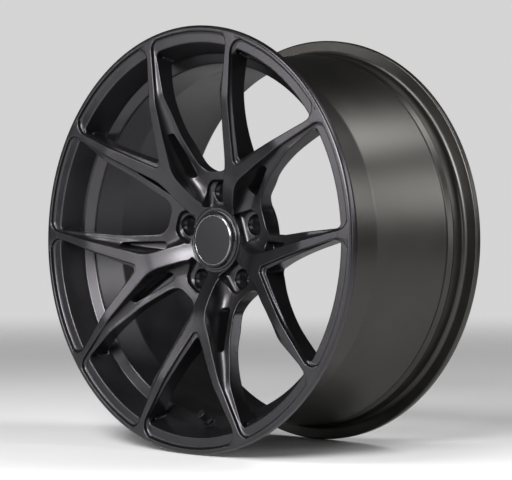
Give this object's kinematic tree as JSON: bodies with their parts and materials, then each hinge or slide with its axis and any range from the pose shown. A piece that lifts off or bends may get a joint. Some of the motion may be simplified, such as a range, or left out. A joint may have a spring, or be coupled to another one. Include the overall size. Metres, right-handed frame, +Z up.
{
  "type": "wheel rim",
  "caption": "Forged one-piece car wheel rim with Y-shaped spokes, a plain centre cap and a bolt-in tyre valve with dust cap.",
  "frame": {"origin": "centre of the wheel: on its axis, midway between the outer faces of the two flanges", "axes": "+Y along the wheel's axis towards the car, so the face looks along -Y; +Z up, with one spoke straight down and the valve between its arms"},
  "size_m": [0.4969, 0.235, 0.497],
  "materials": {
    "wheel_metal": "satin gunmetal coat over forged and turned aluminium",
    "cap_plastic": "satin black moulded plastic",
    "bezel_metal": "bright turned ring",
    "badge": "satin dark disc with no mark",
    "spring_steel": "plain wire",
    "valve_metal": "black anodised",
    "valve_rubber": "matt rubber",
    "valve_brass": "plain brass"
  },
  "bodies": {
    "wheel": {"wheel_body": "wheel_metal", "valve_stem": "valve_metal", "valve_grommet": "valve_rubber", "valve_washer": "valve_metal", "valve_nut": "valve_metal", "valve_core_body": "valve_brass", "valve_core_gasket": "valve_rubber", "valve_core_spring": "spring_steel"},
    "centre_cap": {"cap_body": "cap_plastic", "cap_bezel": "bezel_metal", "cap_badge": "badge", "cap_spring_ring": "spring_steel"},
    "valve_pin": {"valve_core_pin": "valve_brass", "valve_core_cup": "valve_rubber"},
    "valve_cap_lift": {"valve_cap_seal": "valve_rubber"},
    "valve_cap": {"valve_cap": "valve_metal"}
  },
  "joints": [
    {"name": "cap_pull", "type": "slide", "parent": "wheel", "child": "centre_cap", "axis": [0, -1, 0], "range_m": [0, 0.04]},
    {"name": "valve_pin_press", "type": "slide", "parent": "wheel", "child": "valve_pin", "axis": [0, 0.8542, -0.5199], "range_m": [0, 0.0015], "stiffness_N_per_m": 2000, "springref_m": -0.002},
    {"name": "valve_cap_travel", "type": "slide", "parent": "wheel", "child": "valve_cap_lift", "axis": [0, -0.8542, 0.5199], "range_m": [0, 0.00556]},
    {"name": "valve_cap_turn", "type": "hinge", "parent": "valve_cap_lift", "child": "valve_cap", "pos_m": [0, -0.078, -0.21275], "axis": [0, -0.8542, 0.5199], "range_deg": [0, 2521]}
  ],
  "couplings": [
    {"joint": "valve_cap_turn", "follows": "valve_cap_travel", "rad_per_m": 7913.3}
  ]
}
